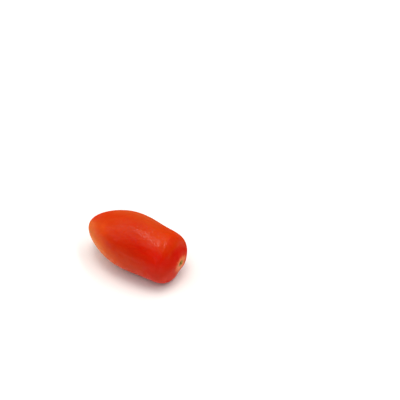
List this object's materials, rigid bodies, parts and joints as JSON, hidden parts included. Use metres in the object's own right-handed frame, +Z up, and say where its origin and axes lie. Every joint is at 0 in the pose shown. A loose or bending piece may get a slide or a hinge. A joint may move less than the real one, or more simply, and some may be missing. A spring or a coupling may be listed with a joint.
{
  "type": "datterino tomato",
  "caption": "Small elongated plum tomato lying on its side, with a corky scar in a shallow hollow at the stem end and a tiny pointed tip at the other.",
  "frame": {"origin": "on the surface that the fruit lies on, under the middle of the fruit's bounding box", "axes": "+X towards the stem end along the fruit's length, +Z up, +Y across the fruit"},
  "size_m": [0.0458, 0.0248, 0.0249],
  "materials": {
    "skin": "satin"
  },
  "bodies": {
    "root": {"fruit": "skin"}
  },
  "joints": []
}
